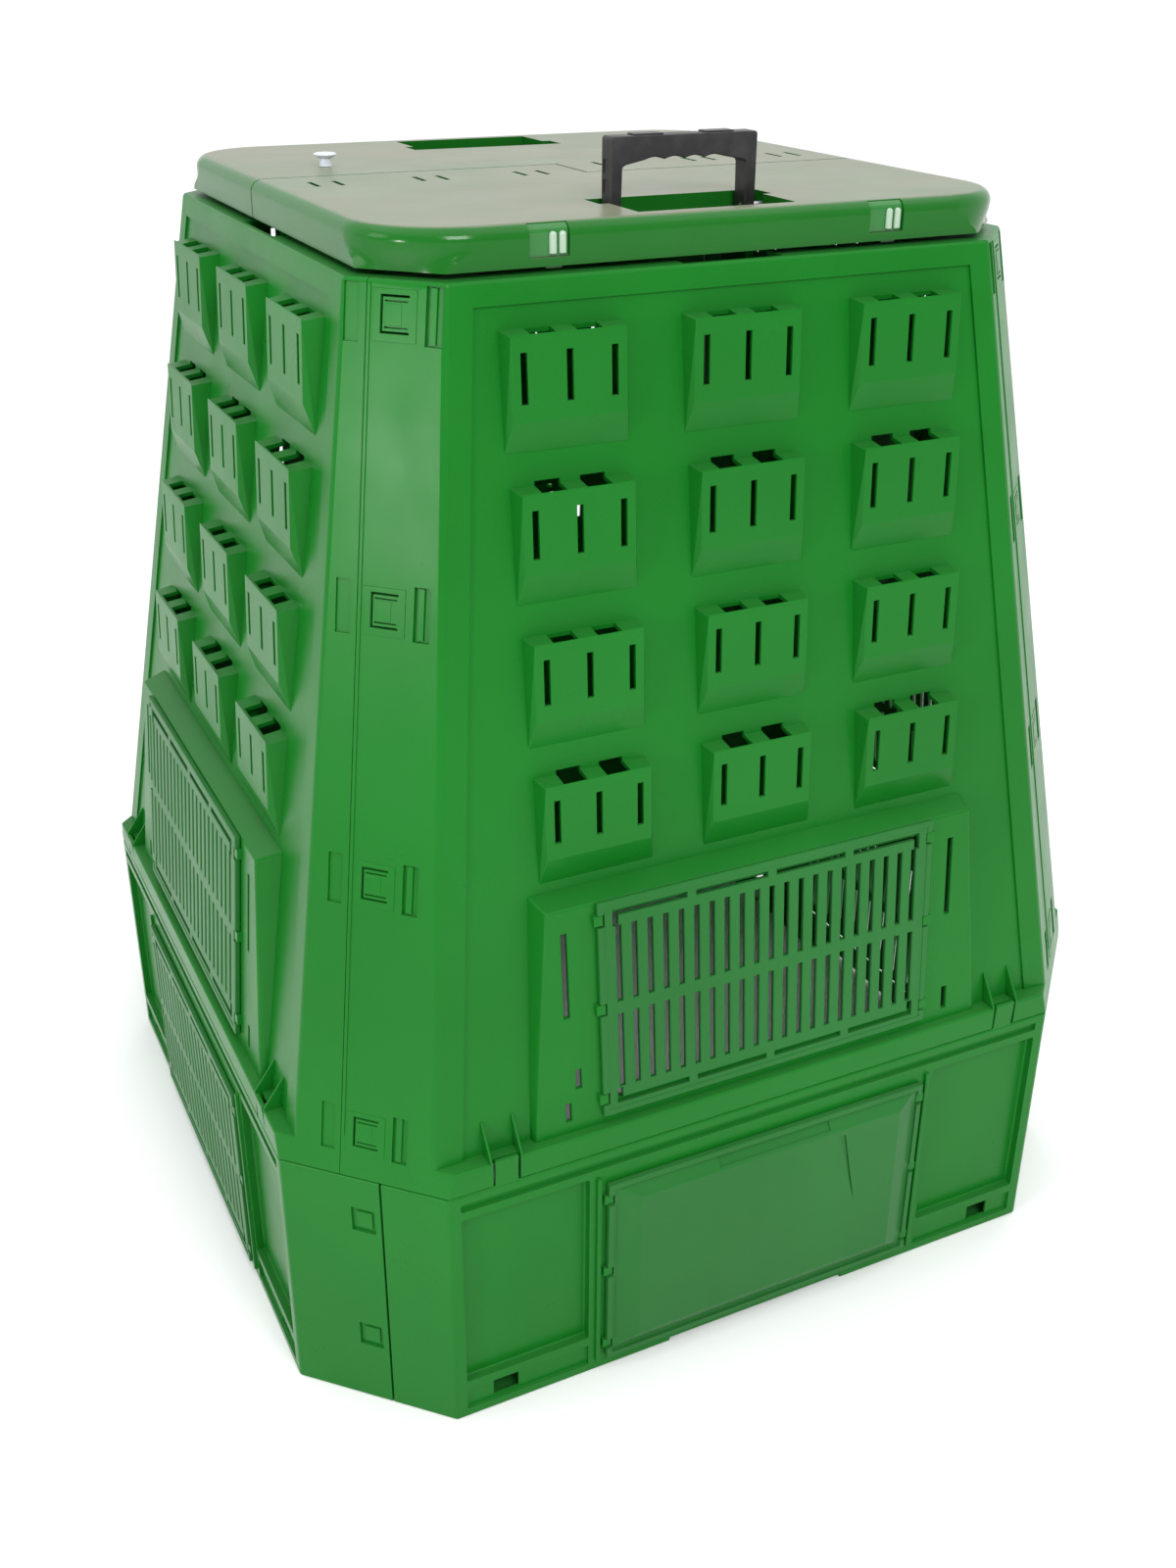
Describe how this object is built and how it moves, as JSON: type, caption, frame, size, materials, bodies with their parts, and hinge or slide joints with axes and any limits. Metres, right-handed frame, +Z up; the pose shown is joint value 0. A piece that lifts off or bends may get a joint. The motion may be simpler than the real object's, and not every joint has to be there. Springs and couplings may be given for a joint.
{
  "type": "compost bin",
  "caption": "Square tapered garden compost bin of snap-together panels, with vent scoops, slatted grilles, lift-off base hatches and a hinged two-flap lid with a fold-down carry handle.",
  "frame": {"origin": "on the ground, at the centre of the base", "axes": "+Z up; -Y is the front, with a solid hatch door; -X is the left side, with a slatted hatch; +X runs along the lid's hinge rod"},
  "size_m": [0.8098, 0.8246, 0.9892],
  "materials": {
    "green_plastic": "moulded recycled plastic, semi-gloss, mid green",
    "lid_plastic": "moulded plastic, semi-gloss, green, dusty",
    "black_plastic": "satin black moulded plastic",
    "white_plastic": "white moulded plastic",
    "steel": "plain steel rod"
  },
  "bodies": {
    "bin": {"base_panel_front": "green_plastic", "wall_panel_front": "green_plastic", "vent_grille_front": "green_plastic", "base_panel_right": "green_plastic", "wall_panel_right": "green_plastic", "vent_grille_right": "green_plastic", "base_panel_back": "green_plastic", "wall_panel_back": "green_plastic", "vent_grille_back": "green_plastic", "base_panel_left": "green_plastic", "wall_panel_left": "green_plastic", "vent_grille_left": "green_plastic", "lid_hinge_rod": "steel", "rod_bracket_left": "green_plastic", "rod_bracket_right": "green_plastic"},
    "front_flap": {"lid_flap_front": "lid_plastic", "lid_latch_front_left": "lid_plastic", "lid_latch_front_right": "lid_plastic", "handle_pin_left": "steel", "handle_pin_right": "steel"},
    "back_flap": {"lid_flap_back": "lid_plastic", "lid_latch_back_left": "lid_plastic", "lid_latch_back_right": "lid_plastic", "lid_peg": "white_plastic"},
    "handle": {"carry_handle": "black_plastic"},
    "hatch_front": {"hatch_door_front": "green_plastic"},
    "hatch_right": {"hatch_grille_right": "green_plastic"},
    "hatch_back": {"hatch_door_back": "green_plastic"},
    "hatch_left": {"hatch_grille_left": "green_plastic"}
  },
  "joints": [
    {"name": "front_flap_hinge", "type": "hinge", "parent": "bin", "child": "front_flap", "pos_m": [0, 0, 0.935], "axis": [-1, 0, 0], "range_deg": [0, 70]},
    {"name": "back_flap_hinge", "type": "hinge", "parent": "bin", "child": "back_flap", "pos_m": [0, 0, 0.935], "axis": [1, 0, 0], "range_deg": [0, 70]},
    {"name": "handle_fold", "type": "hinge", "parent": "front_flap", "child": "handle", "pos_m": [0, -0.19, 0.933], "axis": [1, 0, 0], "range_deg": [0, 90]},
    {"name": "hatch_front_lift_off", "type": "slide", "parent": "bin", "child": "hatch_front", "axis": [0, -1, 0], "range_m": [0, 0.25]},
    {"name": "hatch_right_lift_off", "type": "slide", "parent": "bin", "child": "hatch_right", "axis": [1, 0, 0], "range_m": [0, 0.25]},
    {"name": "hatch_back_lift_off", "type": "slide", "parent": "bin", "child": "hatch_back", "axis": [0, 1, 0], "range_m": [0, 0.25]},
    {"name": "hatch_left_lift_off", "type": "slide", "parent": "bin", "child": "hatch_left", "axis": [-1, 0, 0], "range_m": [0, 0.25]}
  ]
}
